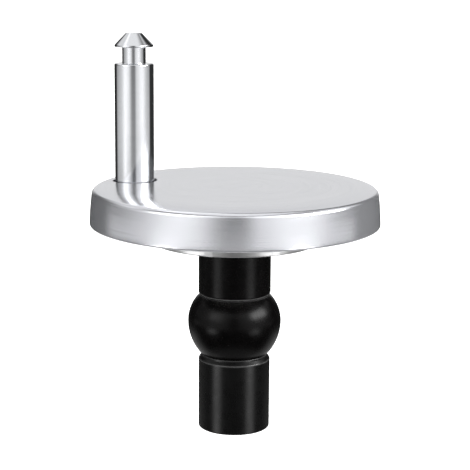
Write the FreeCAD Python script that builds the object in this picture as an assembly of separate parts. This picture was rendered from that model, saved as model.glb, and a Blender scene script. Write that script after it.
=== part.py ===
import FreeCAD, Part
import math
import os

# Toilet seat hinge, top-fixed type with an expanding plug. All sizes are in millimetres.
# Z = 0 is the surface of the pan, Z points up, and the origin is on the axis of the pan's hole.
# The hinge pin stands off centre, on the -X side.

# Cover cap, drawn from stainless sheet
cap_rim_diameter = 55.0
cap_flare = 0.35            # growth of the skirt's radius from the fold down to the rim
cap_height = 6.7
cap_sheet = 0.8
cap_fold_radius = 1.2       # outside of the fold between the top and the skirt
cap_edge_radius = 0.25      # rounding of the skirt's lower outside edge
cap_stand_off = 3.95        # rim above the pan
cap_pin_clearance = 0.5     # open ring round the pin, on the radius

# Hinge pin, turned and chromed
pin_diameter = 7.5
pin_inset = 7.2             # axis of the pin in from the rim of the cap
pin_shaft_length = 22.9     # above the cap
pin_shaft_chamfer = 0.35
pin_groove_diameter = 4.5
pin_groove_length = 3.1
pin_head_diameter = 7.4
pin_head_lip = 0.4
pin_head_cone_height = 2.2
pin_head_flat_diameter = 3.1
pin_relief_depth = 0.3      # turned relief inside the hole of the cap
pin_spigot_diameter = 5.5
pin_spigot_length = 2.4
pin_thread_depth = 11.4     # tapped hole, from the end of the spigot

# Countersunk screw that holds the pin from below
pin_screw_diameter = 4.0
pin_screw_head_diameter = 7.6
pin_screw_length = 11.5     # overall, with the head
pin_screw_slot = 1.0
pin_screw_slot_depth = 0.9

# Base plate, die-cast
base_web = 2.4
base_wall = 3.2             # rim wall, which carries the grip ring
base_rim_recess = 0.8       # underside of the rim wall above the rim of the cap
base_edge_chamfer = 0.6
foot_diameter = 32.0
foot_wall = 2.0
foot_floor = 2.0
foot_edge_chamfer = 0.15
rib_thickness = 1.6
rib_depth = 1.6             # of the outer ribs, below the web
rib_top_drop = 1.5          # top of the inner ribs below the top of the plate
rib_step_angle = 45.0
pin_boss_diameter = 11.2
bolt_boss_wall = 2.0
neck_socket_depth = 0.9

# Grip ring, a rubber O-ring that holds the cap
grip_ring_section = 1.8

# Foot gasket, a thin soft washer
gasket_thickness = 0.6
gasket_edge_radius = 0.2
gasket_inset = 3.2          # edge of the gasket in from the side of the foot

# Clamp bolt with a domed socket head, and its washer
bolt_diameter = 6.0
bolt_length = 40.0
bolt_tip_chamfer = 0.6
bolt_head_diameter = 10.5
bolt_head_height = 3.3
bolt_head_edge = 0.7        # straight edge below the dome
bolt_head_flat_diameter = 5.6
bolt_socket_width = 4.0     # across flats
bolt_socket_depth = 2.1
washer_diameter = 12.0
washer_thickness = 1.2

# Expansion sleeve, a rubber moulding shown squeezed into a ball
neck_diameter = 13.8
neck_depth = 9.8            # lip of the neck below the pan's surface
neck_lip_radius = 0.6
bulge_diameter = 17.8
bulge_depth = 15.0          # widest level below the pan's surface
bulge_waist_diameter = 12.7
bulge_crease_width = 0.35   # ledge of the ball below the lip
sleeve_depth = 21.4         # lower end below the pan's surface

# Clamp nut, a moulded barrel with a brass thread insert
nut_diameter = 13.7
nut_length = 14.65
nut_collar_diameter = 12.8
nut_collar_height = 0.4
nut_shoulder_height = 0.65
nut_edge_radius = 0.3
insert_diameter = 9.2
insert_length = 9.6
insert_drop = 2.5           # top of the insert below the top of the nut
insert_groove_depth = 0.5
insert_groove_width = 3.0
insert_flute_count = 8
insert_flute_radius = 0.5

# Clearances, all on the radius or along one face
turning_clearance = 0.05    # parts that turn on one another
thread_clearance = 0.05     # plain cylinders that stand for a thread
loose_clearance = 0.3       # holes that a bolt only passes through
grip_clearance = 0.03       # grip ring in its groove and in the cap
head_clearance = 0.35       # above and round the bolt's head

# Levels
cap_top = cap_stand_off + cap_height
base_top = cap_top - cap_sheet
base_rim_bottom = cap_stand_off + base_rim_recess
web_bottom = base_top - base_web
foot_bottom = gasket_thickness
foot_floor_top = foot_bottom + foot_floor
neck_top = foot_bottom + neck_socket_depth
washer_top = base_top - head_clearance - bolt_head_height
washer_bottom = washer_top - washer_thickness
spigot_bottom = base_top - pin_spigot_length
nut_top = -sleeve_depth
insert_top = nut_top - insert_drop

# Radii
cap_fold_outside = cap_rim_diameter / 2 - cap_flare
base_radius = cap_fold_outside - cap_sheet - loose_clearance
foot_radius = foot_diameter / 2
foot_inside = foot_radius - foot_wall
neck_radius = neck_diameter / 2
pin_radius = pin_diameter / 2
pin_offset = cap_rim_diameter / 2 - pin_inset
bolt_passage = bolt_diameter / 2 + loose_clearance
bolt_recess = washer_diameter / 2 + loose_clearance
bolt_boss_radius = bolt_recess + bolt_boss_wall


def cap_inside(level):
    """Inner radius of the cap's skirt at a level."""
    drop = (cap_top - cap_fold_radius - level) / (cap_height - cap_fold_radius)
    return cap_fold_outside - cap_sheet + cap_flare * drop


grip_ring_level = (base_rim_bottom + base_top) / 2
grip_ring_radius = cap_inside(grip_ring_level) - grip_clearance - grip_ring_section / 2


def arc(centre, radius, start, end):
    """Middle and end of an arc in an outline, from angles in degrees above the outward radius."""
    def at(angle):
        turn = math.radians(angle)
        return (centre[0] + radius * math.cos(turn), centre[1] + radius * math.sin(turn))
    return (at((start + end) / 2), at(end))


def turned(start, *steps):
    """Solid turned about Z from an outline of (radius, level) points, with arcs as (middle, end)."""
    edges = []
    here = FreeCAD.Vector(start[0], 0, start[1])
    first = here
    for step in steps:
        if isinstance(step[0], tuple):
            middle = FreeCAD.Vector(step[0][0], 0, step[0][1])
            there = FreeCAD.Vector(step[1][0], 0, step[1][1])
            edges.append(Part.Arc(here, middle, there).toShape())
        else:
            there = FreeCAD.Vector(step[0], 0, step[1])
            edges.append(Part.LineSegment(here, there).toShape())
        here = there
    edges.append(Part.LineSegment(here, first).toShape())
    face = Part.Face(Part.Wire(edges))
    return face.revolve(FreeCAD.Vector(0, 0, 0), FreeCAD.Vector(0, 0, 1), 360)


def post(radius, bottom, top):
    """Upright cylinder on the Z axis."""
    return Part.makeCylinder(radius, top - bottom, FreeCAD.Vector(0, 0, bottom))


def ring(outside, inside, bottom, top):
    """Upright tube on the Z axis."""
    return post(outside, bottom, top).cut(post(inside, bottom, top))


def at_pin(shape):
    """The shape moved from the Z axis to the axis of the hinge pin."""
    moved = shape.copy()
    moved.translate(FreeCAD.Vector(-pin_offset, 0, 0))
    return moved


def radial_bar(inside, outside, bottom, top, angle):
    """Upright rib that runs out from the Z axis at an angle."""
    bar = Part.makeBox(outside - inside, rib_thickness, top - bottom)
    bar.translate(FreeCAD.Vector(inside, -rib_thickness / 2, bottom))
    bar.rotate(FreeCAD.Vector(0, 0, 0), FreeCAD.Vector(0, 0, 1), angle)
    return bar


def cover_cap():
    """Flat-topped sheet cap with a rounded fold, a flared skirt and the hole for the pin."""
    fold_centre = cap_fold_outside - cap_fold_radius
    fold_level = cap_top - cap_fold_radius
    rim = cap_rim_diameter / 2
    shell = turned(
        (0, cap_top),
        (fold_centre, cap_top),
        arc((fold_centre, fold_level), cap_fold_radius, 90, 0),
        (rim, cap_stand_off + cap_edge_radius),
        arc((rim - cap_edge_radius, cap_stand_off + cap_edge_radius), cap_edge_radius, 0, -90),
        (rim - cap_sheet, cap_stand_off),
        (cap_fold_outside - cap_sheet, fold_level),
        arc((fold_centre, fold_level), cap_fold_radius - cap_sheet, 0, 90),
        (0, base_top),
    )
    hole = post(pin_radius + cap_pin_clearance, base_top, cap_top)
    return shell.cut(at_pin(hole))


def hinge_pin():
    """Turned pin with a relief at the cap, a locking groove, a coned head and a tapped spigot."""
    relief = pin_radius - pin_relief_depth
    shaft_top = cap_top + pin_shaft_length
    head_bottom = shaft_top + pin_groove_length
    cone_bottom = head_bottom + pin_head_lip
    spigot = pin_spigot_diameter / 2
    thread = pin_screw_diameter / 2 + thread_clearance
    thread_top = spigot_bottom + pin_thread_depth
    body = turned(
        (thread, spigot_bottom),
        (spigot, spigot_bottom),
        (spigot, base_top),
        (relief, base_top),
        (relief, cap_top),
        (pin_radius, cap_top),
        (pin_radius, shaft_top - pin_shaft_chamfer),
        (pin_radius - pin_shaft_chamfer, shaft_top),
        (pin_groove_diameter / 2, shaft_top),
        (pin_groove_diameter / 2, head_bottom),
        (pin_head_diameter / 2, head_bottom),
        (pin_head_diameter / 2, cone_bottom),
        (pin_head_flat_diameter / 2, cone_bottom + pin_head_cone_height),
        (0, cone_bottom + pin_head_cone_height),
        (0, thread_top + thread),
        (thread, thread_top),
    )
    return at_pin(body)


def pin_screw_cone(gap):
    """Outline steps of the countersunk head from its underside, grown by a gap."""
    head = pin_screw_head_diameter / 2 + gap
    shank = pin_screw_diameter / 2 + gap
    return (head, base_rim_bottom), (shank, base_rim_bottom + head - shank)


def pin_screw():
    """Slotted countersunk screw that pulls the pin down on the base plate."""
    head, neck = pin_screw_cone(0)
    top = base_rim_bottom + pin_screw_length
    screw = turned((0, base_rim_bottom), head, neck, (neck[0], top), (0, top))
    slot = Part.makeBox(pin_screw_head_diameter, pin_screw_slot, pin_screw_slot_depth)
    slot.translate(FreeCAD.Vector(-pin_screw_head_diameter / 2, -pin_screw_slot / 2, base_rim_bottom))
    return at_pin(screw.cut(slot))


def pin_seat():
    """What is cut from the base plate for the spigot and the screw of the pin."""
    head, neck = pin_screw_cone(thread_clearance)
    spigot = pin_spigot_diameter / 2 + turning_clearance
    return at_pin(turned(
        (0, base_rim_bottom),
        head,
        neck,
        (neck[0], spigot_bottom),
        (spigot, spigot_bottom),
        (spigot, base_top),
        (0, base_top),
    ))


def base_plate():
    """Die-cast carrier: a ribbed plate with a cup-shaped foot, a bolt boss and a boss for the pin."""
    groove_inside = grip_ring_radius - grip_ring_section / 2 - grip_clearance
    groove_half = grip_ring_section / 2 + grip_clearance
    plate = turned(
        (foot_inside, web_bottom),
        (base_radius - base_wall, web_bottom),
        (base_radius - base_wall, base_rim_bottom),
        (base_radius, base_rim_bottom),
        (base_radius, grip_ring_level - groove_half),
        (groove_inside, grip_ring_level - groove_half),
        (groove_inside, grip_ring_level + groove_half),
        (base_radius, grip_ring_level + groove_half),
        (base_radius, base_top - base_edge_chamfer),
        (base_radius - base_edge_chamfer, base_top),
        (foot_inside, base_top),
    )
    foot = turned(
        (0, foot_bottom),
        (foot_radius - foot_edge_chamfer, foot_bottom),
        (foot_radius, foot_bottom + foot_edge_chamfer),
        (foot_radius, base_top),
        (foot_inside, base_top),
        (foot_inside, foot_floor_top),
        (bolt_boss_radius, foot_floor_top),
        (bolt_boss_radius, base_top),
        (0, base_top),
    )
    pin_boss = at_pin(post(pin_boss_diameter / 2, base_rim_bottom, base_top))
    pieces = [foot, pin_boss.common(post(groove_inside, base_rim_bottom, base_top))]
    for step in range(1, round(360 / rib_step_angle)):
        angle = 180 + step * rib_step_angle
        pieces.append(radial_bar(
            foot_inside, base_radius - base_wall / 2, web_bottom - rib_depth, web_bottom, angle))
        pieces.append(radial_bar(
            bolt_recess, foot_radius, foot_bottom, base_top - rib_top_drop, angle))
    casting = plate.multiFuse(pieces)
    cuts = [
        post(bolt_recess, washer_bottom, base_top),
        post(bolt_passage, foot_bottom, base_top),
        post(neck_radius + turning_clearance, foot_bottom, neck_top),
        pin_seat(),
    ]
    for cut in cuts:
        casting = casting.cut(cut)
    return casting.removeSplitter()


def cap_grip_ring():
    """O-ring in the rim of the base plate."""
    return Part.makeTorus(grip_ring_radius, grip_ring_section / 2, FreeCAD.Vector(0, 0, grip_ring_level))


def foot_gasket():
    """Soft washer between the foot and the pan, stretched round the neck of the plug."""
    inside = neck_radius + turning_clearance
    outside = foot_radius - gasket_inset
    edge_centre = (outside - gasket_edge_radius, gasket_edge_radius)
    return turned(
        (inside, 0),
        (edge_centre[0], 0),
        arc(edge_centre, gasket_edge_radius, -90, 0),
        (outside, gasket_thickness),
        (inside, gasket_thickness),
    )


def clamp_bolt():
    """Dome-headed bolt with a hexagon socket, whose thread is a plain cylinder."""
    head_top = washer_top + bolt_head_height
    head = bolt_head_diameter / 2
    flat = bolt_head_flat_diameter / 2
    edge_top = washer_top + bolt_head_edge
    dome_height = head_top - edge_top
    dome_drop = (head ** 2 - flat ** 2 - dome_height ** 2) / (2 * dome_height)
    dome_radius = math.hypot(head, dome_drop)
    dome_start = math.degrees(math.atan2(dome_drop, head))
    dome_end = math.degrees(math.atan2(dome_drop + dome_height, flat))
    shank = bolt_diameter / 2
    tip = washer_top - bolt_length
    bolt = turned(
        (0, tip),
        (shank - bolt_tip_chamfer, tip),
        (shank, tip + bolt_tip_chamfer),
        (shank, washer_top),
        (head, washer_top),
        (head, edge_top),
        arc((0, edge_top - dome_drop), dome_radius, dome_start, dome_end),
        (0, head_top),
    )
    corner = bolt_socket_width / math.sqrt(3)
    corners = []
    for index in range(7):
        turn = math.radians(60 * index)
        corners.append(FreeCAD.Vector(corner * math.cos(turn), corner * math.sin(turn), head_top))
    socket = Part.Face(Part.makePolygon(corners)).extrude(FreeCAD.Vector(0, 0, -bolt_socket_depth))
    return bolt.cut(socket)


def bolt_washer():
    """Plain washer under the bolt's head."""
    return ring(washer_diameter / 2, bolt_passage, washer_bottom, washer_top)


def ball_arc(end_radius, end_level):
    """Centre radius, arc radius and end angle of a ball that is widest at the bulge's level."""
    widest = bulge_diameter / 2
    rise = end_level + bulge_depth
    centre = (widest ** 2 - end_radius ** 2 - rise ** 2) / (2 * (widest - end_radius))
    return centre, widest - centre, math.degrees(math.atan2(rise, end_radius - centre))


def expansion_sleeve():
    """Rubber sleeve with a straight neck, a rolled lip and the ball it is squeezed into."""
    lip_centre = (neck_radius - neck_lip_radius, neck_lip_radius - neck_depth)
    crease = (lip_centre[0] + bulge_crease_width, -neck_depth)
    waist = bulge_waist_diameter / 2
    upper_centre, upper_radius, upper_angle = ball_arc(*crease)
    lower_centre, lower_radius, lower_angle = ball_arc(waist, -sleeve_depth)
    return turned(
        (bolt_passage, neck_top),
        (neck_radius, neck_top),
        (neck_radius, lip_centre[1]),
        arc(lip_centre, neck_lip_radius, 0, -90),
        crease,
        arc((upper_centre, -bulge_depth), upper_radius, upper_angle, 0),
        arc((lower_centre, -bulge_depth), lower_radius, 0, lower_angle),
        (bolt_passage, -sleeve_depth),
    )


def insert_body():
    """Outside of the thread insert: a barrel with a middle groove and lengthwise flutes."""
    radius = insert_diameter / 2
    bottom = insert_top - insert_length
    middle = insert_top - insert_length / 2
    groove = radius - insert_groove_depth
    body = turned(
        (0, bottom),
        (radius, bottom),
        (radius, middle - insert_groove_width / 2),
        (groove, middle - insert_groove_width / 2),
        (groove, middle + insert_groove_width / 2),
        (radius, middle + insert_groove_width / 2),
        (radius, insert_top),
        (0, insert_top),
    )
    flutes = []
    for index in range(insert_flute_count):
        flute = post(insert_flute_radius, bottom, insert_top)
        flute.translate(FreeCAD.Vector(radius, 0, 0))
        flute.rotate(FreeCAD.Vector(0, 0, 0), FreeCAD.Vector(0, 0, 1), 360 / insert_flute_count * index)
        flutes.append(flute)
    return body.cut(flutes)


def nut_insert():
    """Brass thread insert, whose thread is a plain bore."""
    bore = post(bolt_diameter / 2 + thread_clearance, insert_top - insert_length, insert_top)
    return insert_body().cut(bore)


def clamp_nut():
    """Moulded barrel with a collar that carries the sleeve, cast round the thread insert."""
    outside = nut_diameter / 2
    collar = nut_collar_diameter / 2
    collar_bottom = nut_top - nut_collar_height
    bottom = nut_top - nut_length
    edge_centre = (outside - nut_edge_radius, bottom + nut_edge_radius)
    barrel = turned(
        (bolt_passage, bottom),
        (edge_centre[0], bottom),
        arc(edge_centre, nut_edge_radius, -90, 0),
        (outside, collar_bottom - nut_shoulder_height),
        (collar, collar_bottom),
        (collar, nut_top),
        (bolt_passage, nut_top),
    )
    return barrel.cut(insert_body())


pieces = {
    "cover_cap": cover_cap,
    "hinge_pin": hinge_pin,
    "pin_screw": pin_screw,
    "base_plate": base_plate,
    "cap_grip_ring": cap_grip_ring,
    "foot_gasket": foot_gasket,
    "clamp_bolt": clamp_bolt,
    "bolt_washer": bolt_washer,
    "expansion_sleeve": expansion_sleeve,
    "clamp_nut": clamp_nut,
    "nut_insert": nut_insert,
}

os.makedirs("parts", exist_ok=True)
for name, make in pieces.items():
    shape = make()
    shape.exportStep(f"parts/{name}.step")
    print(name, "valid" if shape.isValid() else "NOT VALID", len(shape.Solids), "solid", round(shape.Volume, 1))
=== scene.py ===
# %% [markdown]
# # A toilet seat hinge, dressed for the camera
# This lesson dresses a finished construction model of a top-fixed toilet seat hinge. The model
# comes in as a fixed frame: its pieces already have their real size and place, in metres, with
# Z = 0 on the surface of the toilet pan and the plug's axis on Z. Here every visible piece gets
# a smooth surface with broken edges and the finish of its real material, then a studio and a
# camera.

# %% Load the frame
import math

import bmesh
import bpy
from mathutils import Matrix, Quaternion, Vector


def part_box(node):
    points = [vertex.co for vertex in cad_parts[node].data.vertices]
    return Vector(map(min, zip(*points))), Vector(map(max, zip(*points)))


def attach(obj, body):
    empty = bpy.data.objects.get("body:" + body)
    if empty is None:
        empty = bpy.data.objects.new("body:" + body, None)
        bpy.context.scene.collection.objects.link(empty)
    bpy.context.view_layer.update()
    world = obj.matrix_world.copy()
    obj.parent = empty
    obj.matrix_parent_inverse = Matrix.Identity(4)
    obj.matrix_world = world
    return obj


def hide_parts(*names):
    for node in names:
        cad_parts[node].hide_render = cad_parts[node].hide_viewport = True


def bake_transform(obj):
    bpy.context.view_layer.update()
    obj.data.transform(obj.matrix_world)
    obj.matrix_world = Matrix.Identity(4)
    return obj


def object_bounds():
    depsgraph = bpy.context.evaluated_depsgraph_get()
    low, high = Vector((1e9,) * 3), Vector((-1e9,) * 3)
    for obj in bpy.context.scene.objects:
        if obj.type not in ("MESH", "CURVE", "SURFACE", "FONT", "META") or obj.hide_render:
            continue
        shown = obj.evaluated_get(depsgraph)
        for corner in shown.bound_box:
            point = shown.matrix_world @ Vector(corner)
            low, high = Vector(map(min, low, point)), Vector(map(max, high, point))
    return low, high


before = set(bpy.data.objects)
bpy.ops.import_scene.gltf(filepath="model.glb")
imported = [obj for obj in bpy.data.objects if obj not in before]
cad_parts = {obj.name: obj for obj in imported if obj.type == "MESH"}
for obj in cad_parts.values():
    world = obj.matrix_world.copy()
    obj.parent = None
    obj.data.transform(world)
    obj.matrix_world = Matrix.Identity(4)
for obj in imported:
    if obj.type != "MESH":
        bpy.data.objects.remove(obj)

CAD_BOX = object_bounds()
MM = 0.001


def box_mm(node):
    """Lowest and highest corner of a node of the frame, in millimetres."""
    low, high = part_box(node)
    return low / MM, high / MM


for name in sorted(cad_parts):
    low, high = box_mm(name)
    print(name, "size in mm", [round(side, 2) for side in high - low])

# %% [markdown]
# ## The camera
# The reference view looks down on the cap by about eleven degrees, from close enough that the
# near rim looks clearly lower than the far one. The distance was worked out from how much the
# ellipses of the cap open from top to rim, the turn from where the pin stands on the cap, and
# the slight roll from how the cap leans. A plain camera that is aimed at the middle of the
# object keeps other views honest.

# %% Set up the camera
VIEW_TURN = math.radians(17.2)
VIEW_ROLL = math.radians(0.4)
CAMERA_REACH = 279.5 * MM
CAMERA_LEVEL = 57.85 * MM
LENS_MM = 114.9

toward_camera = Vector((math.sin(VIEW_TURN), -math.cos(VIEW_TURN), 0))
aim = Vector((0, 0, (CAD_BOX[0].z + CAD_BOX[1].z) / 2))
camera = bpy.data.objects.new("camera", bpy.data.cameras.new("camera"))
camera.data.lens = LENS_MM
camera.location = toward_camera * CAMERA_REACH + Vector((0, 0, CAMERA_LEVEL))
roll = Quaternion((0, 0, 1), VIEW_ROLL)
camera.rotation_euler = ((aim - camera.location).to_track_quat("-Z", "Y") @ roll).to_euler()
bpy.context.scene.collection.objects.link(camera)
bpy.context.scene.camera = camera
print("camera at", [round(value / MM, 1) for value in camera.location], "mm")

# %% [markdown]
# ## Two small helpers for nodes and colours
# Every finish below is a node tree, and so are the turning tool and the studio. One function
# adds a node, with its settings and its links, to any of them. Colours are read off as sRGB
# hex values, which shaders need in linear light.

# %% Node and colour helpers


def add(tree, kind, links=None, **settings):
    """Adds one node: settings are its properties, links its inputs as sockets or constants."""
    node = tree.nodes.new(kind)
    for key, value in settings.items():
        setattr(node, key, value)
    for key, value in (links or {}).items():
        if isinstance(value, bpy.types.NodeSocket):
            tree.links.new(value, node.inputs[key])
        else:
            node.inputs[key].default_value = value
    return node


def linear(hex_colour):
    """An sRGB hex colour as linear RGBA."""
    channels = [int(hex_colour[i:i + 2], 16) / 255 for i in (1, 3, 5)]
    return [c / 12.92 if c <= 0.04045 else ((c + 0.055) / 1.055) ** 2.4 for c in channels] + [1]


print("mid grey", [round(value, 3) for value in linear("#808080")])

# %% [markdown]
# ## Finishes: the turned metals
# The cap is stainless sheet, spun and then given a satin polish, so its fine marks run in rings
# round the axis. Such marks could be a painted picture, but rings follow a rule. A noise that is
# read by radius, level and turn, and stretched along the turn, gives them on the flat top and on
# the skirt alike, at any distance. Real marks are a few hundredths of a millimetre apart, which
# no pixel here can show, so they are drawn coarser.

# %% Marks that run round an axis
MARK_RUN = 0.6  # in radians


def round_axis(tree, place, axis_x_mm, mark_mm):
    """Object coordinates unrolled round an upright axis, for marks that run round it."""
    centred = add(tree, "ShaderNodeMapping", {"Vector": place, "Location": (-axis_x_mm * MM, 0, 0)})
    split = add(tree, "ShaderNodeSeparateXYZ", {0: centred.outputs[0]})
    flat = add(tree, "ShaderNodeCombineXYZ", {"X": split.outputs["X"], "Y": split.outputs["Y"]})
    radius = add(tree, "ShaderNodeVectorMath", {0: flat.outputs[0]}, operation="LENGTH")
    turn = add(tree, "ShaderNodeMath", {
        0: split.outputs["Y"], 1: split.outputs["X"]}, operation="ARCTAN2")
    unrolled = add(tree, "ShaderNodeCombineXYZ", {
        "X": radius.outputs["Value"], "Y": split.outputs["Z"], "Z": turn.outputs[0]})
    per_mark = 1 / (mark_mm * MM)
    return add(tree, "ShaderNodeVectorMath", {
        0: unrolled.outputs[0], 1: (per_mark, per_mark, 1 / MARK_RUN)}, operation="MULTIPLY").outputs[0]


print("a mark runs about", round(math.degrees(MARK_RUN)), "degrees round its axis")

# %% [markdown]
# The marks are only microns deep. They soften the reflection and pull it a little sideways, which
# is what the eye reads as satin. A satin polish also leaves a haze, so the cap scatters a small
# share of the light as paint does. On the narrow pin the marks spread reflections along the rod
# and leave them clear across it. That takes an anisotropic shader with a tangent round the axis,
# and not a rougher one, which would lose the clear dark edges of chrome.

# %% The turned metal recipe
CLOUD_MM = 9
QUARTER_TURN = 0.25
MARK_NOISE_RANGE = (0.3, 0.7)  # nearly all values of the noise lie in here


def new_material(name):
    """A node material with its tree and its shader."""
    material = bpy.data.materials.new(name)
    material.use_nodes = True
    return material, material.node_tree, material.node_tree.nodes["Principled BSDF"]


def turned_metal(name, colours, roughness, mark_mm, depth_mm, axis_x_mm=0.0, haze=0.0, along_axis=0.0):
    """Metal whose fine marks run round an upright axis.

    A share of haze scatters light, and along_axis spreads the reflections along the axis.
    """
    material, tree, shader = new_material(name)
    place = add(tree, "ShaderNodeTexCoord").outputs["Object"]
    rings = round_axis(tree, place, axis_x_mm, mark_mm)
    marks = add(tree, "ShaderNodeTexNoise", {"Vector": rings, "Scale": 1.0, "Detail": 3.0})
    cloud = add(tree, "ShaderNodeTexNoise", {
        "Vector": place, "Scale": 1 / (CLOUD_MM * MM), "Detail": 2.0})
    tone = add(tree, "ShaderNodeMix", {
        0: cloud.outputs["Fac"], 6: linear(colours[0]), 7: linear(colours[1])}, data_type="RGBA")
    gloss = add(tree, "ShaderNodeMapRange", {
        "Value": marks.outputs["Fac"],
        "From Min": MARK_NOISE_RANGE[0], "From Max": MARK_NOISE_RANGE[1],
        "To Min": roughness[0], "To Max": roughness[1]})
    bump = add(tree, "ShaderNodeBump", {
        "Height": marks.outputs["Fac"], "Strength": 1.0, "Distance": depth_mm * MM})
    tree.links.new(tone.outputs[2], shader.inputs["Base Color"])
    tree.links.new(gloss.outputs[0], shader.inputs["Roughness"])
    tree.links.new(bump.outputs[0], shader.inputs["Normal"])
    shader.inputs["Metallic"].default_value = 1.0 - haze
    if along_axis:
        round_tangent = add(tree, "ShaderNodeTangent", direction_type="RADIAL", axis="Z")
        tree.links.new(round_tangent.outputs[0], shader.inputs["Tangent"])
        shader.inputs["Anisotropic"].default_value = along_axis
        shader.inputs["Anisotropic Rotation"].default_value = QUARTER_TURN
    print(name, "has marks of", mark_mm, "mm")
    return material


# %% Turned metal finishes
PIN_BOX = box_mm("hinge_pin")
PIN_X = (PIN_BOX[0].x + PIN_BOX[1].x) / 2
print("pin's axis at", round(PIN_X, 2), "mm")
# pale grey mirror, softened along the spinning marks and slightly hazy
satin_stainless = turned_metal(
    "satin_spun_stainless", ("#cccdd2", "#d1d2d6"), roughness=(0.16, 0.25),
    mark_mm=0.2, depth_mm=0.0005, haze=0.15)
# clear, slightly cool mirror, drawn out along the pin
polished_chrome = turned_metal(
    "polished_chrome_plate", ("#d3d5d8", "#d8d9dc"), roughness=(0.08, 0.1),
    mark_mm=0.4, depth_mm=0.0002, axis_x_mm=PIN_X, along_axis=0.95)
# greyer and duller than the cap, with coarse turning marks
bolt_steel = turned_metal(
    "cold_formed_stainless", ("#bcbdbf", "#c8c9ca"), roughness=(0.2, 0.28), mark_mm=0.3, depth_mm=0.001)
# warm yellow with a turned sheen
turned_brass = turned_metal(
    "turned_brass", ("#c29b4e", "#cfab63"), roughness=(0.18, 0.3), mark_mm=0.25, depth_mm=0.001)

# %% [markdown]
# ## Finishes: castings, rubber and plastics
# The plug is black rubber with a faint mottled bloom, and the barrel under it is a harder black
# nylon that shines a little more evenly. The gasket is soft white plastic that lets some light
# in. The carrier under the cap is die-cast zinc under nickel plate, which keeps the casting's
# slightly pebbled skin. Each could have a tree of its own, but they differ only in sizes and
# colours, so they share one recipe: a grain of a real size gives the bump, and a wider cloud
# shifts the colour and the gloss.
#
# Edges get two extras. On pieces that keep their construction mesh, a bevel node rounds the look
# of each edge, because no casting has a razor edge. Black mouldings read from their mesh how near
# each point is to a rubbed edge. There they get shinier, and a paler colour that is partly wear
# and partly a painted highlight.

# %% The moulded and cast recipe
CLOUD_NOISE_RANGE = (0.35, 0.65)


def grained(name, colours, roughness, grain_mm, depth_mm, cloud_mm, metallic=0.0, edge_mm=0.0,
            worn_and_lit=None):
    """A moulded or cast skin: grain in the bump, cloud in the colour and gloss, edges with wear and painted
    highlight.
    """
    material, tree, shader = new_material(name)
    place = add(tree, "ShaderNodeTexCoord").outputs["Object"]
    grain = add(tree, "ShaderNodeTexNoise", {
        "Vector": place, "Scale": 1 / (grain_mm * MM), "Detail": 4.0})
    cloud = add(tree, "ShaderNodeTexNoise", {
        "Vector": place, "Scale": 1 / (cloud_mm * MM), "Detail": 3.0})
    tone = add(tree, "ShaderNodeMix", {
        0: cloud.outputs["Fac"], 6: linear(colours[0]), 7: linear(colours[1])}, data_type="RGBA")
    gloss = add(tree, "ShaderNodeMapRange", {
        "Value": cloud.outputs["Fac"],
        "From Min": CLOUD_NOISE_RANGE[0], "From Max": CLOUD_NOISE_RANGE[1],
        "To Min": roughness[0], "To Max": roughness[1]})
    bump = add(tree, "ShaderNodeBump", {
        "Height": grain.outputs["Fac"], "Strength": 1.0, "Distance": depth_mm * MM})
    if edge_mm:
        edge = add(tree, "ShaderNodeBevel", {"Radius": edge_mm * MM}, samples=6)
        tree.links.new(edge.outputs[0], bump.inputs["Normal"])
    # near a rubbed edge the colour turns paler, partly wear and partly a painted highlight, and the
    # roughness drops
    if worn_and_lit:
        wear = add(tree, "ShaderNodeAttribute", attribute_name="wear")
        patchy = add(tree, "ShaderNodeMath", {
            0: wear.outputs["Fac"], 1: gloss.outputs[0]}, operation="MULTIPLY")
        tone = add(tree, "ShaderNodeMix", {
            0: patchy.outputs[0], 6: tone.outputs[2], 7: linear(worn_and_lit)}, data_type="RGBA")
        gloss = add(tree, "ShaderNodeMath", {
            0: gloss.outputs[0], 1: patchy.outputs[0]}, operation="SUBTRACT")
    tree.links.new(tone.outputs[2], shader.inputs["Base Color"])
    tree.links.new(gloss.outputs[0], shader.inputs["Roughness"])
    tree.links.new(bump.outputs[0], shader.inputs["Normal"])
    shader.inputs["Metallic"].default_value = metallic
    print(name, "has a grain of", grain_mm, "mm")
    return material, shader


# %% Moulded and cast finishes
# soot black with a soft, slightly blotchy shine; its matt bloom takes most of the glare away
# its lip gets a pale tone that is partly wear and partly a painted highlight
black_rubber, rubber_shader = grained(
    "moulded_black_rubber", ("#020202", "#050404"), roughness=(0.23, 0.29),
    grain_mm=0.5, depth_mm=0.01, cloud_mm=1.4, worn_and_lit="#a0a0a0")
rubber_shader.inputs["Specular IOR Level"].default_value = 0.1
# black with a smoother and stronger shine than the rubber
# its edges get a pale tone that is partly wear and partly a painted highlight
black_nylon, nylon_shader = grained(
    "moulded_black_nylon", ("#040404", "#070707"), roughness=(0.26, 0.3),
    grain_mm=0.35, depth_mm=0.004, cloud_mm=2.0, worn_and_lit="#6a6a6a")
nylon_shader.inputs["Specular IOR Level"].default_value = 0.2
# plain black with an oiled look
ring_rubber, _ = grained(
    "smooth_ring_rubber", ("#101011", "#171718"), roughness=(0.3, 0.4),
    grain_mm=0.3, depth_mm=0.004, cloud_mm=1.5)
# milky white that glows a little at its edge
soft_plastic, soft_shader = grained(
    "soft_white_plastic", ("#d0d0cc", "#dadad6"), roughness=(0.4, 0.5),
    grain_mm=0.6, depth_mm=0.008, cloud_mm=5.0)
soft_shader.inputs["Subsurface Weight"].default_value = 0.35
soft_shader.inputs["Subsurface Radius"].default_value = (1.2 * MM, 1.2 * MM, 1.1 * MM)
soft_shader.inputs["Subsurface Scale"].default_value = 1.0
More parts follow.
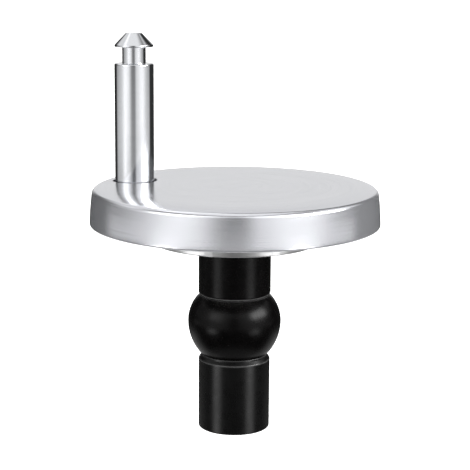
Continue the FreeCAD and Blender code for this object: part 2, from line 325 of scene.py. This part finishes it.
# even silver, pebbled like the casting below the plate
plated_casting, _ = grained(
    "nickel_plated_zinc_casting", ("#cbcbcc", "#d6d6d6"), roughness=(0.28, 0.4),
    grain_mm=0.7, depth_mm=0.008, cloud_mm=4.0, metallic=1.0, edge_mm=0.2)
# bluish and yellowish silver in turn, as zinc plate has
plated_steel, _ = grained(
    "bright_zinc_plate", ("#b5bcc4", "#c6c3b6"), roughness=(0.2, 0.3),
    grain_mm=0.4, depth_mm=0.006, cloud_mm=1.6, metallic=1.0, edge_mm=0.1)

# %% [markdown]
# ## A turning tool
# Most of this hinge is round. Cap, pin, bolt, plug, nut and gasket are all an outline turned
# about an axis. Spin and the Screw modifier can turn an outline too, but not with a thread on one
# part of it only. So one Geometry Nodes tree does it: it takes the outline's points in order,
# spreads them over a grid, bends the grid's other side round a full circle and merges the seam
# and the poles. Each outline point may also say how deep a thread is cut there. The tree then
# pulls the surface in along a helix, by a wave that climbs one pitch in each turn.
#
# Corners are rounded first, because a real edge always catches a thin line of light. Two extra
# points close to the ends of each straight run keep the shading of flat faces flat.

# %% Outlines with rounded corners
ARC_STEP = math.radians(6)
ARC_FEWEST = 3
HOLD_MM = 0.12
LONG_RUN_MM = 4 * HOLD_MM


def rounded(corners, closed=False):
    """Outline points from (radius, level, rounding) corners, in millimetres."""
    spots = [Vector(corner[:2]) for corner in corners]
    runs = []
    for index, corner in enumerate(corners):
        here = spots[index]
        rounding = corner[2] if len(corner) > 2 else 0
        if rounding == 0:
            runs.append([here])
            continue
        back = (spots[index - 1] - here).normalized()
        ahead = (spots[(index + 1) % len(spots)] - here).normalized()
        half = back.angle(ahead) / 2
        centre = here + (back + ahead).normalized() * (rounding / math.sin(half))
        first = here + back * (rounding / math.tan(half)) - centre
        last = here + ahead * (rounding / math.tan(half)) - centre
        sweep = first.angle_signed(last)
        count = max(ARC_FEWEST, math.ceil(abs(sweep) / ARC_STEP))
        start = math.atan2(first.y, first.x)
        runs.append([
            centre + rounding * Vector((math.cos(turn), math.sin(turn)))
            for turn in (start - sweep * step / count for step in range(count + 1))])
    if closed:
        runs.append([runs[0][0]])
    points = []
    for run in runs:
        if points and (run[0] - points[-1]).length > LONG_RUN_MM:
            along = (run[0] - points[-1]).normalized() * HOLD_MM
            points += [points[-1] + along, run[0] - along]
        points += run
    return points


sample = rounded([(0, 0), (2, 0, 0.5), (2, 3)])
print("sample outline", [(round(p.x, 2), round(p.y, 2)) for p in sample[:4]], len(sample), "points")

# %% The turning tree
MERGE_MM = 0.002


def turning_tree():
    """Geometry Nodes that turn an outline, radius in X and level in Z, about an upright axis.

    The outline's Y is the depth of a thread at that point.
    """
    tree = bpy.data.node_groups.new("turning", "GeometryNodeTree")
    tree.is_modifier = True
    sockets = {}
    inputs = {"Outline": "Object", "Steps": "Int", "Axis": "Vector", "Pitch": "Float", "Finish": "Material"}
    for name, kind in inputs.items():
        sockets[name] = tree.interface.new_socket(
            name, in_out="INPUT", socket_type="NodeSocket" + kind).identifier
    tree.interface.new_socket("Geometry", in_out="OUTPUT", socket_type="NodeSocketGeometry")
    given = add(tree, "NodeGroupInput").outputs
    line = add(tree, "GeometryNodeObjectInfo", {"Object": given["Outline"]}).outputs["Geometry"]
    count = add(tree, "GeometryNodeAttributeDomainSize", {"Geometry": line}).outputs["Point Count"]
    columns = add(tree, "ShaderNodeMath", {0: given["Steps"], 1: 1.0}, operation="ADD").outputs[0]
    grid = add(tree, "GeometryNodeMeshGrid", {
        "Size X": 1.0, "Size Y": 1.0, "Vertices X": count, "Vertices Y": columns})
    place = add(tree, "GeometryNodeInputPosition").outputs[0]
    cell = add(tree, "ShaderNodeSeparateXYZ", {0: place})
    # the grid's X picks the outline's point
    share = add(tree, "ShaderNodeMath", {0: cell.outputs["X"], 1: 0.5}, operation="ADD")
    last = add(tree, "ShaderNodeMath", {0: count, 1: 1.0}, operation="SUBTRACT")
    row = add(tree, "ShaderNodeMath", {
        0: share.outputs[0], 1: last.outputs[0], 2: 0.5}, operation="MULTIPLY_ADD")
    point = add(tree, "GeometryNodeSampleIndex", {
        "Geometry": line, "Value": place, "Index": row.outputs[0]},
        data_type="FLOAT_VECTOR", domain="POINT")
    spot = add(tree, "ShaderNodeSeparateXYZ", {0: point.outputs[0]})
    # the thread is a wave that climbs one pitch in a turn
    climb = add(tree, "ShaderNodeMath", {0: spot.outputs["Z"], 1: given["Pitch"]}, operation="DIVIDE")
    phase = add(tree, "ShaderNodeMath", {
        0: climb.outputs[0], 1: cell.outputs["Y"]}, operation="SUBTRACT")
    wave = add(tree, "ShaderNodeMath", {0: phase.outputs[0], 1: 0.5}, operation="PINGPONG")
    cut = add(tree, "ShaderNodeMath", {0: wave.outputs[0], 1: 2.0}, operation="MULTIPLY")
    groove = add(tree, "ShaderNodeMath", {
        0: cut.outputs[0], 1: spot.outputs["Y"]}, operation="MULTIPLY")
    radius = add(tree, "ShaderNodeMath", {
        0: spot.outputs["X"], 1: groove.outputs[0]}, operation="SUBTRACT")
    # the grid's Y is the turn
    turn = add(tree, "ShaderNodeMath", {0: cell.outputs["Y"], 1: 2 * math.pi}, operation="MULTIPLY")
    cosine = add(tree, "ShaderNodeMath", {0: turn.outputs[0]}, operation="COSINE")
    sine = add(tree, "ShaderNodeMath", {0: turn.outputs[0]}, operation="SINE")
    x = add(tree, "ShaderNodeMath", {
        0: radius.outputs[0], 1: cosine.outputs[0]}, operation="MULTIPLY")
    y = add(tree, "ShaderNodeMath", {
        0: radius.outputs[0], 1: sine.outputs[0]}, operation="MULTIPLY")
    wrapped = add(tree, "ShaderNodeCombineXYZ", {
        "X": x.outputs[0], "Y": y.outputs[0], "Z": spot.outputs["Z"]})
    bent = add(tree, "GeometryNodeSetPosition", {
        "Geometry": grid.outputs["Mesh"], "Position": wrapped.outputs[0], "Offset": given["Axis"]})
    closed = add(tree, "GeometryNodeMergeByDistance", {
        "Geometry": bent.outputs[0], "Distance": MERGE_MM * MM})
    smooth = add(tree, "GeometryNodeSetShadeSmooth", {"Geometry": closed.outputs[0]})
    real = add(tree, "GeometryNodeRealizeInstances", {"Geometry": smooth.outputs[0]})
    dressed = add(tree, "GeometryNodeSetMaterial", {
        "Geometry": real.outputs[0], "Material": given["Finish"]})
    add(tree, "NodeGroupOutput", {"Geometry": dressed.outputs[0]})
    return tree, sockets


TURNING, TURNING_SOCKETS = turning_tree()
print("turning tree has", len(TURNING.nodes), "nodes")

# %% [markdown]
# The tree's result is turned into a plain mesh at once. Its normals are recalculated after the
# merge, so that faces point outwards, and edges that really are sharp are marked by their angle.

# %% Turn an outline into a piece
SHARP = math.radians(32)
THREAD_PITCH = 1.0


def plain(holder):
    """Replaces an object's modifiers by their result, with outward faces and marked edges."""
    graph = bpy.context.evaluated_depsgraph_get()
    mesh = bpy.data.meshes.new_from_object(holder.evaluated_get(graph), depsgraph=graph)
    holder.modifiers.clear()
    holder.data = mesh
    work = bmesh.new()
    work.from_mesh(mesh)
    bmesh.ops.recalc_face_normals(work, faces=work.faces)
    if work.calc_volume(signed=True) < 0:
        bmesh.ops.reverse_faces(work, faces=work.faces)
    work.to_mesh(mesh)
    work.free()
    mesh.shade_smooth()
    mesh.set_sharp_from_angle(angle=SHARP)
    mesh.name = holder.name


def turned(name, points, finish, steps=160, axis_x_mm=0.0, thread_mm=lambda radius, level: 0.0):
    """A closed piece turned from outline points in millimetres about an upright axis."""
    line = bpy.data.meshes.new(name + "_outline")
    line.from_pydata([(p.x * MM, thread_mm(p.x, p.y) * MM, p.y * MM) for p in points], [], [])
    outline = bpy.data.objects.new(name + "_outline", line)
    piece = bpy.data.objects.new(name, bpy.data.meshes.new(name))
    for made in (outline, piece):
        bpy.context.scene.collection.objects.link(made)
    turning = piece.modifiers.new("turning", "NODES")
    turning.node_group = TURNING
    inputs = {"Outline": outline, "Steps": steps, "Axis": (axis_x_mm * MM, 0, 0),
              "Pitch": THREAD_PITCH * MM, "Finish": finish}
    for key, value in inputs.items():
        turning[TURNING_SOCKETS[key]] = value
    plain(piece)
    bpy.data.objects.remove(outline)
    size = [round(side / MM, 2) for side in piece.dimensions]
    print(name, "has", len(piece.data.polygons), "faces and measures", size, "mm")
    return piece


print("edges over", round(math.degrees(SHARP)), "degrees stay sharp")

# %% [markdown]
# ## The cover cap
# The cap is spun from sheet: a flat middle that falls away gently towards its edge, a small
# rolled fold, and a skirt that flares to a thin rim, more under the fold than at the rim. A
# cylinder with a bevel would be quicker, but the gentle fall and the bow of the skirt make
# reflections slide from dark to light. The shell is turned in one go, inside and outside.

# %% Measure the cap
CAP_SHEET = 0.8
CAP_FLARE = 0.55
SKIRT_BOW = 0.7
CROWN_FROM = 20.5
CROWN_TO = 25.6
CROWN_RISE = 0.45
CROWN_DROP = 0.28
CROWN_POWER = 2.6

cap_low, cap_high = box_mm("cover_cap")
cap_rim, cap_top, cap_bottom = cap_high.x, cap_high.z, cap_low.z
crown_top = cap_top + CROWN_RISE


def skirt(share, inset):
    """Point of the skirt at a share of its height from the top, inset by the sheet or not."""
    flare = CAP_FLARE * ((1 + SKIRT_BOW) * share - SKIRT_BOW * share ** 2)
    return cap_rim - CAP_FLARE + flare - inset, cap_top - share * (cap_top - cap_bottom)


def crown(radius, inset):
    """Point of the top, which falls away gently before the fold."""
    share = max(0, radius - CROWN_FROM) / (CROWN_TO - CROWN_FROM)
    return radius - inset * share / 2, crown_top - inset - CROWN_DROP * share ** CROWN_POWER


print("cap's rim", round(cap_rim, 2), "mm, top", round(crown_top, 2), "mm")

# %% Turn the cap
CROWN_STEPS = 12
SKIRT_STEPS = 18
FOLD_STEPS = 6
CAP_FOLD = 1.0
CAP_EDGE = 0.35

bow = [step / SKIRT_STEPS for step in range(FOLD_STEPS, SKIRT_STEPS - 1)]
fall = [CROWN_FROM + (CROWN_TO - CROWN_FROM) * step / CROWN_STEPS for step in range(CROWN_STEPS + 1)]
fold_slope = CROWN_POWER * CROWN_DROP / (CROWN_TO - CROWN_FROM)
fold_corner = crown_top - CROWN_DROP - fold_slope * (skirt(0, 0)[0] - CROWN_TO)
cover_cap = turned("spun_cap", rounded([
    (0, crown_top),
    *[crown(radius, 0) for radius in fall],
    (skirt(0, 0)[0], fold_corner, CAP_FOLD),
    *[skirt(share, 0) for share in bow],
    (cap_rim, cap_bottom, CAP_EDGE),
    (cap_rim - CAP_SHEET, cap_bottom, CAP_EDGE / 2),
    *[skirt(share, CAP_SHEET) for share in reversed(bow)],
    (skirt(0, CAP_SHEET)[0], fold_corner - CAP_SHEET, CAP_FOLD - CAP_SHEET),
    *[crown(radius, CAP_SHEET) for radius in reversed(fall)],
    (0, crown_top - CAP_SHEET),
]), satin_stainless, steps=256)

# %% [markdown]
# The hole for the pin could be left out of the faces, but it lies off the axis, where the turned
# faces don't follow it. So it is cut by a second turned shape whose top flares, which leaves the
# hole's edge slightly broken, as punching and polishing do. Then the frame's node for the cap is
# hidden, and the cap hangs on the body that carries it.

# %% Cut the hole for the pin
HOLE_GAP = 0.5
HOLE_BREAK = 0.12


def cut_out(piece, cutter):
    """Cuts one piece's shape out of another and removes the cutter."""
    cut = piece.modifiers.new("cut", "BOOLEAN")
    cut.operation = "DIFFERENCE"
    cut.solver = "EXACT"
    cut.object = cutter
    plain(piece)
    bpy.data.objects.remove(cutter)
    print(piece.name, "has", len(piece.data.polygons), "faces after the cut")


def hand_over(piece, node, body):
    """Hides the frame's node that the piece stands for, and hangs the piece on its body."""
    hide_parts(node)
    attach(piece, body)


pin_radius = (PIN_BOX[1].x - PIN_BOX[0].x) / 2
hole = pin_radius + HOLE_GAP
cut_out(cover_cap, turned("hole_cutter", rounded([
    (0, cap_top - 2 * CAP_SHEET),
    (hole, cap_top - 2 * CAP_SHEET),
    (hole, crown_top - HOLE_BREAK),
    (hole + 2 * HOLE_BREAK, crown_top + HOLE_BREAK),
    (0, crown_top + HOLE_BREAK),
]), satin_stainless, steps=96, axis_x_mm=PIN_X))
hand_over(cover_cap, "cover_cap", "cap")

# %% [markdown]
# ## The hinge pin
# The seat drops over this pin and latches in the groove below its coned head. It is turned from
# bar and chromed, so every step is crisp but not sharp. The construction mesh has the steps too,
# but not all the fine roundings that catch the light, so the pin is turned afresh. The spigot and
# the tapped hole are turned with it, because they show when the cap is lifted or from below.

# %% Turn the pin
PIN_SPIGOT = 2.75
PIN_SPIGOT_LENGTH = 2.4
PIN_RELIEF = 0.3
PIN_SHAFT = 22.9
PIN_SHAFT_EDGE = 0.3
PIN_GROOVE = 2.25
PIN_GROOVE_LENGTH = 3.1
PIN_HEAD = 3.7
PIN_HEAD_LIP = 0.4
PIN_HEAD_FLAT = 1.55
PIN_TAP = 2.05
PIN_TAP_DEPTH = 11.4
EDGE_BREAK = 0.12

pin_foot, pin_tip = PIN_BOX[0].z, PIN_BOX[1].z
base_top = pin_foot + PIN_SPIGOT_LENGTH
shaft_top = cap_top + PIN_SHAFT
head_low = shaft_top + PIN_GROOVE_LENGTH
hinge_pin = turned("chromed_pin", rounded([
    (0, pin_foot + PIN_TAP_DEPTH + PIN_TAP),
    (PIN_TAP, pin_foot + PIN_TAP_DEPTH),
    (PIN_TAP, pin_foot),
    (PIN_SPIGOT, pin_foot, EDGE_BREAK),
    (PIN_SPIGOT, base_top),
    (pin_radius - PIN_RELIEF, base_top, EDGE_BREAK),
    (pin_radius - PIN_RELIEF, cap_top),
    (pin_radius, cap_top, EDGE_BREAK),
    (pin_radius, shaft_top, PIN_SHAFT_EDGE),
    (PIN_GROOVE, shaft_top, EDGE_BREAK),
    (PIN_GROOVE, head_low, EDGE_BREAK),
    (PIN_HEAD, head_low, EDGE_BREAK),
    (PIN_HEAD, head_low + PIN_HEAD_LIP, EDGE_BREAK),
    (PIN_HEAD_FLAT, pin_tip, 2 * EDGE_BREAK),
    (0, pin_tip),
]), polished_chrome, axis_x_mm=PIN_X)
hand_over(hinge_pin, "hinge_pin", "base")

# %% [markdown]
# ## The rubber sleeve
# The sleeve has a straight neck with a rolled lip. Below it the bolt has squeezed the rubber
# into a ball. The ball could be pushed into shape by hand, but two arcs that meet at its widest
# level keep it smooth and true to its sizes. They are worked out from that level, the crease
# under the lip and the waist above the nut. When the bolt is slackened the nut goes down; the
# sleeve here keeps its squeezed shape.

# %% Outline the ball
NECK = 6.9
NECK_LIP = 0.6
NECK_DEPTH = 9.8
CREASE = 0.35
BALL_DEPTH = 15.0
BALL_STEPS = 26
WAIST = 6.35

sleeve_low, sleeve_high = box_mm("expansion_sleeve")
ball = sleeve_high.x


def ball_side(radius, level):
    """Points of the ball from its widest level to an end point, in millimetres."""
    rise = level + BALL_DEPTH
    centre = (ball ** 2 - radius ** 2 - rise ** 2) / (2 * (ball - radius))
    reach = ball - centre
    sweep = math.atan2(rise, radius - centre)
    return [
        (centre + reach * math.cos(sweep * step / BALL_STEPS),
         reach * math.sin(sweep * step / BALL_STEPS) - BALL_DEPTH)
        for step in range(BALL_STEPS + 1)]


upper = ball_side(NECK - NECK_LIP + CREASE, -NECK_DEPTH)
lower = ball_side(WAIST, sleeve_low.z)
print("ball is", round(2 * ball, 2), "mm wide and its waist", round(2 * WAIST, 2), "mm")

# %% Turn the sleeve
BOLT_PASSAGE = 3.3
NECK_EDGE = 0.2

sleeve = turned("rubber_sleeve", rounded([
    (BOLT_PASSAGE, sleeve_high.z),
    (NECK, sleeve_high.z, NECK_EDGE),
    (NECK, -NECK_DEPTH, NECK_LIP),
    *reversed(upper),
    *lower[1:],
    (BOLT_PASSAGE, sleeve_low.z),
], closed=True), black_rubber)

# %% [markdown]
# ### Worn edges with a painted highlight
# Black rubber and nylon go shiny where they rub, along the lip of the neck and the edges of the
# nut. There they also get a paler colour, which is partly wear and partly a painted highlight.
# A shader can look for edges by itself, but on turned pieces with long thin faces that leaves
# streaks. So each point of the mesh stores how near it is to a rubbed edge.

# %% Wear the sleeve's lip and paint a highlight on it


def mark_wear_and_highlight(piece, edges):
    """Stores each point's wear and painted highlight, from (radius, level, reach) of rounded edges in mm.
    """
    wear = piece.data.attributes.new("wear", "FLOAT", "POINT")
    for vertex, mark in zip(piece.data.vertices, wear.data):
        spot = (math.hypot(vertex.co.x, vertex.co.y) / MM, vertex.co.z / MM)
        mark.value = max(0.0, *(1 - math.dist(spot, edge[:2]) / edge[2] for edge in edges))
    print(piece.name, "has", sum(mark.value > 0 for mark in wear.data), "worn points")


mark_wear_and_highlight(sleeve, [(NECK - NECK_LIP / 4, -NECK_DEPTH + NECK_LIP / 4, NECK_LIP / 2)])
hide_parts("expansion_sleeve")
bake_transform(sleeve)

# %% [markdown]
# ## The clamp nut and the gasket
# The nut is a plain moulded barrel with a narrow collar that carries the rubber and a sloped
# shoulder below it. Each of their edges is rounded and shows as a thin bright arc, and a painted
# highlight is added along the rubbed ones. A Bevel modifier would round them all alike, so the nut
# is turned, with a rounding for each edge. The gasket is a flat washer, cut from soft sheet, a
# little smaller than the foot that stands on it.

# %% Turn the nut
NUT_COLLAR = 6.4
NUT_COLLAR_HEIGHT = 0.4
NUT_COLLAR_EDGE = 0.15
NUT_SHOULDER = 0.65
NUT_SHOULDER_EDGE = 0.4
NUT_EDGE = 0.3

nut_low, nut_high = box_mm("clamp_nut")
shoulder = nut_high.z - NUT_COLLAR_HEIGHT
nut = turned("nylon_nut", rounded([
    (BOLT_PASSAGE, nut_low.z),
    (nut_high.x, nut_low.z, NUT_EDGE),
    (nut_high.x, shoulder - NUT_SHOULDER, NUT_SHOULDER_EDGE),
    (NUT_COLLAR, shoulder),
    (NUT_COLLAR, nut_high.z, NUT_COLLAR_EDGE),
    (BOLT_PASSAGE, nut_high.z),
], closed=True), black_nylon)
# the nut's edges get the same pale tone: partly wear, partly a painted highlight
mark_wear_and_highlight(nut, [
    (nut_high.x, nut_low.z, NUT_EDGE),
    (nut_high.x, shoulder - NUT_SHOULDER, NUT_SHOULDER_EDGE / 2),
    (NUT_COLLAR, nut_high.z, NUT_SHOULDER_EDGE / 2),
])
hand_over(nut, "clamp_nut", "nut")

# %% Turn the gasket
GASKET_FIT = 0.05
GASKET_EDGE = 0.2

gasket_low, gasket_high = box_mm("foot_gasket")
gasket = turned("soft_gasket", rounded([
    (NECK + GASKET_FIT, gasket_low.z),
    (gasket_high.x, gasket_low.z, GASKET_EDGE),
    (gasket_high.x, gasket_high.z, GASKET_EDGE / 2),
    (NECK + GASKET_FIT, gasket_high.z),
], closed=True), soft_plastic, steps=192)
hand_over(gasket, "foot_gasket", "plug")

# %% [markdown]
# ## The clamp bolt
# This is an ordinary M6 bolt with a domed head and a hexagon socket, which shows when the cap is
# lifted, and its threaded tip shows from below. A bump could fake the thread, but its outline
# would stay straight, so the turning tool cuts it. The outline gets a point every eighth of a
# pitch along the shank, so that the helix has something to pull on. The socket is a six-sided
# turned cutter.

# %% Outline the bolt
BOLT_RADIUS = 3.0
BOLT_HEAD_HEIGHT = 3.3
BOLT_HEAD_EDGE = 0.7
BOLT_HEAD_FLAT = 2.8
BOLT_TIP = 0.6
DOME_STEPS = 10
POINTS_A_PITCH = 8

bolt_low, bolt_high = box_mm("clamp_bolt")
head_radius = bolt_high.x
under_head = bolt_high.z - BOLT_HEAD_HEIGHT
edge_top = under_head + BOLT_HEAD_EDGE
dome_rise = bolt_high.z - edge_top
dome_drop = (head_radius ** 2 - BOLT_HEAD_FLAT ** 2 - dome_rise ** 2) / (2 * dome_rise)
dome_reach = math.hypot(head_radius, dome_drop)
dome_from = math.atan2(dome_drop, head_radius)
dome_to = math.atan2(dome_drop + dome_rise, BOLT_HEAD_FLAT)
dome_turns = [dome_from + (dome_to - dome_from) * step / DOME_STEPS for step in range(DOME_STEPS + 1)]
dome = [
    (dome_reach * math.cos(turn), edge_top - dome_drop + dome_reach * math.sin(turn))
    for turn in dome_turns]
thread_low = bolt_low.z + BOLT_TIP
thread_steps = round((under_head - thread_low) / THREAD_PITCH * POINTS_A_PITCH)
shank = [
    (BOLT_RADIUS, thread_low + (under_head - thread_low) * step / thread_steps)
    for step in range(thread_steps + 1)]
print("bolt has", thread_steps, "thread points and a dome of radius", round(dome_reach, 2), "mm")

# %% Turn the bolt
THREAD_DEPTH = 0.54
THREAD_RUN_OUT = 2.0
THREAD_START = 0.5
ON_SHANK_MM = 0.01
SOCKET_WIDTH = 4.0
SOCKET_DEPTH = 2.1
SOCKET_OVER = 1.0


def bolt_thread(radius, level):
    """Depth of the thread, which runs out under the head."""
    if abs(radius - BOLT_RADIUS) > ON_SHANK_MM:
        return 0.0
    return THREAD_DEPTH * min(1.0, max(0.0, (under_head - level) / THREAD_RUN_OUT - THREAD_START))


bolt = turned("domed_bolt", rounded([
    (0, bolt_low.z),
    (BOLT_RADIUS - BOLT_TIP, bolt_low.z),
    *shank,
    (head_radius, under_head, EDGE_BREAK),
    *dome,
    (0, bolt_high.z),
]), bolt_steel, steps=64, thread_mm=bolt_thread)
socket_corner = SOCKET_WIDTH / math.sqrt(3)
cut_out(bolt, turned("socket_cutter", rounded([
    (0, bolt_high.z - SOCKET_DEPTH),
    (socket_corner, bolt_high.z - SOCKET_DEPTH),
    (socket_corner, bolt_high.z + SOCKET_OVER),
    (0, bolt_high.z + SOCKET_OVER),
]), bolt_steel, steps=6))
hand_over(bolt, "clamp_bolt", "bolt")

# %% [markdown]
# ## Pieces that keep their construction shape
# The carrier, the screw, the washer, the grip ring and the brass insert are already right, so
# they keep their shape and only get their finish.

# %% Dress the remaining pieces
for node, finish in (
    ("base_plate", plated_casting),
    ("pin_screw", plated_steel),
    ("cap_grip_ring", ring_rubber),
    ("bolt_washer", bolt_steel),
    ("nut_insert", turned_brass),
):
    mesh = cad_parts[node].data
    mesh.materials.clear()
    mesh.materials.append(finish)
    print(node, "is", finish.name)

# %% [markdown]
# ## The studio
# Polished metal looks like what stands round it, so the light decides how this hinge looks.
# Lamps and cards could stand round the object, but then they have to be hidden from the camera.
# Here the whole studio is drawn in the world by direction, measured from the camera's side, and
# the camera itself sees plain white.
#
# A pale wall with a soft lamp stands on either side, and its dim foot reaches further round. The
# darker gap between the walls, where the camera stands, draws the dark streak on pin and skirt.
# Higher up, two softboxes give the ball its highlights, and below the walls two low lamps draw
# the streaks on neck and nut. Behind, a backdrop lights the cap's top and two lights its fold.
# The ceiling is lit on the left only, and light from below shows the underside.

# %% Place the lights
STUDIO_DARK = 0.04
ALL_ROUND = ((-200, 6), (200, 6))
# each light: (angle, softness) of its left, right, bottom and top edge in degrees, and brightness
SOFT_LIGHTS = {
    "front_fill": ((-116, 8), (105, 7), (-10.2, 1.2), (48, 4), 0.05),
    "front_band": ((-116, 8), (105, 7), (-10.2, 1.2), (-4, 5), 0.32),
    "left_wall": ((-90, 24), (-16, 12), (-10.2, 1.2), (44, 5), 0.62),
    "left_wall_foot": ((-116, 8), (-90, 24), (-10.2, 1.2), (-4, 3), 0.3),
    "right_wall": ((12, 8), (82, 22), (-10.2, 1.2), (48, 4), 0.66),
    "right_wall_foot": ((82, 22), (105, 7), (-10.2, 1.2), (-4, 3), 0.35),
    "left_lamp": ((-62, 16), (-27, 16), (-10.2, 1.2), (44, 5), 0.52),
    "right_lamp": ((27, 15), (66, 16), (-10.2, 1.2), (48, 4), 0.38),
    "left_upper": ((-118, 10), (-8, 8), (5, 3), (44, 5), 0.3),
    "right_upper": ((10, 4), (103, 8), (5, 3), (47, 3), 0.3),
    "front_upper": ((-40, 18), (52, 18), (24, 6), (42, 5), 0.7),
    "left_softbox": ((-68, 10), (-36, 10), (13, 5), (33, 6), 3.2),
    "right_softbox": ((48, 10), (91, 10), (16.5, 4), (34, 6), 19.0),
    "low_left_lamp": ((-68, 10), (-46, 10), (-21.5, 2.5), (-13.5, 3), 7.5),
    "low_right_lamp": ((42, 10), (64, 10), (-21.5, 2.5), (-13.5, 3), 7.5),
    "low_left_fill": ((-150, 10), (-80, 10), (-40, 8), (-15, 3), 0.06),
    "low_gap": ((-14, 6), (16, 6), (-12, 1.5), (-8.5, 2), 0.2),
    "right_back": ((98, 8), (126, 8), (24, 6), (56, 6), 1.0),
    "left_back": ((-172, 8), (-100, 8), (30, 8), (70, 6), 0.9),
    "underside": (*ALL_ROUND, (-100, 6), (-58, 8), 0.5),
}
# these go by the angle away from the camera, which is the same on the left and on the right
BACK_LIGHTS = {
    "backdrop": ((160, 6), (200, 6), (-2, 3), (40, 6), 0.8),
    "low_back": ((112, 14), (200, 6), (-66, 8), (-22, 6), 0.6),
}
CEILING = (*ALL_ROUND, (58, 6), (100, 6), 1.08)
CEILING_LEFT_OF = (0.22, 0.6)
print(len(SOFT_LIGHTS), "lights by side,", len(BACK_LIGHTS), "behind, and a ceiling")

# %% Read a direction
world = bpy.data.worlds.new("studio")
bpy.context.scene.world = world
world.use_nodes = True
studio = world.node_tree
studio.nodes.clear()
ray = add(studio, "ShaderNodeTexCoord").outputs["Generated"]
seen = add(studio, "ShaderNodeVectorRotate", {
    "Vector": ray, "Angle": -VIEW_TURN}, rotation_type="Z_AXIS")
split = add(studio, "ShaderNodeSeparateXYZ", {0: seen.outputs[0]})
rightward = split.outputs["X"]
near = add(studio, "ShaderNodeMath", {0: split.outputs["Y"], 1: -1.0}, operation="MULTIPLY")
azimuth = add(studio, "ShaderNodeMath", {
    0: rightward, 1: near.outputs[0]}, operation="ARCTAN2").outputs[0]
away = add(studio, "ShaderNodeMath", {0: azimuth}, operation="ABSOLUTE").outputs[0]
elevation = add(studio, "ShaderNodeMath", {0: split.outputs["Z"]}, operation="ARCSINE").outputs[0]
print("directions are measured from", round(math.degrees(VIEW_TURN), 1), "degrees")

# %% Light the studio


def soft_light(around, left, right, bottom, top, brightness):
    """Brightness of one light in a direction, cut off softly at each of its four edges."""
    edges = ((around, left, 0.0), (around, right, 1.0), (elevation, bottom, 0.0), (elevation, top, 1.0))
    glow = brightness
    for angle, (middle, softness), before in edges:
        share = add(studio, "ShaderNodeMapRange", {
            "Value": angle,
            "From Min": math.radians(middle - softness), "From Max": math.radians(middle + softness),
            "To Min": before, "To Max": 1.0 - before}, interpolation_type="SMOOTHSTEP")
        glow = add(studio, "ShaderNodeMath", {
            0: share.outputs[0], 1: glow}, operation="MULTIPLY").outputs[0]
    return glow


glows = [soft_light(azimuth, *light) for light in SOFT_LIGHTS.values()]
glows += [soft_light(away, *light) for light in BACK_LIGHTS.values()]
left_share = add(studio, "ShaderNodeMapRange", {
    "Value": rightward, "From Min": CEILING_LEFT_OF[0], "From Max": CEILING_LEFT_OF[1],
    "To Min": 1.0, "To Max": 0.0}, interpolation_type="SMOOTHSTEP")
glows.append(add(studio, "ShaderNodeMath", {
    0: left_share.outputs[0], 1: soft_light(azimuth, *CEILING)}, operation="MULTIPLY").outputs[0])
total = STUDIO_DARK
for glow in glows:
    total = add(studio, "ShaderNodeMath", {0: glow, 1: total}, operation="ADD").outputs[0]
path = add(studio, "ShaderNodeLightPath")
lit = add(studio, "ShaderNodeBackground", {"Color": total})
white = add(studio, "ShaderNodeBackground", {"Color": (1, 1, 1, 1)})
mixed = add(studio, "ShaderNodeMixShader", {
    0: path.outputs["Is Camera Ray"], 1: lit.outputs[0], 2: white.outputs[0]})
add(studio, "ShaderNodeOutputWorld", {"Surface": mixed.outputs[0]})
# the standard view keeps white paper white
bpy.context.scene.view_settings.view_transform = "Standard"
print("world has", len(studio.nodes), "nodes for", len(glows), "lights")

# %% [markdown]
# ## The floor
# The hinge hangs over a white sheet, as it would in a catalogue picture, with its own light so
# that no shadow is left on it. Polished pieces don't mirror it, and from below it is clear.

# %% Lay the floor
FLOOR_DROP = 30 * MM
FLOOR_HALF = 3.0
FLOOR_ROUGHNESS = 0.9
FLOOR_GLOW = 0.6

floor_level = CAD_BOX[0].z - FLOOR_DROP
floor_mesh = bpy.data.meshes.new("floor")
floor_mesh.from_pydata(
    [(x * FLOOR_HALF, y * FLOOR_HALF, floor_level) for x, y in ((-1, -1), (1, -1), (1, 1), (-1, 1))],
    [], [(0, 1, 2, 3)])
floor = bpy.data.objects.new("floor", floor_mesh)
bpy.context.scene.collection.objects.link(floor)
floor.visible_glossy = False
lit_sheet, tree, shader = new_material("lit_white_sheet")
shader.inputs["Base Color"].default_value = linear("#f4f4f4")
shader.inputs["Roughness"].default_value = FLOOR_ROUGHNESS
shader.inputs["Specular IOR Level"].default_value = 0.0
shader.inputs["Emission Color"].default_value = (1, 1, 1, 1)
shader.inputs["Emission Strength"].default_value = FLOOR_GLOW
clear = add(tree, "ShaderNodeBsdfTransparent")
side = add(tree, "ShaderNodeNewGeometry")
one_sided = add(tree, "ShaderNodeMixShader", {
    0: side.outputs["Backfacing"], 1: shader.outputs[0], 2: clear.outputs[0]})
tree.links.new(one_sided.outputs[0], tree.nodes["Material Output"].inputs["Surface"])
floor_mesh.materials.append(lit_sheet)
print("floor at", round(floor_level / MM, 1), "mm")
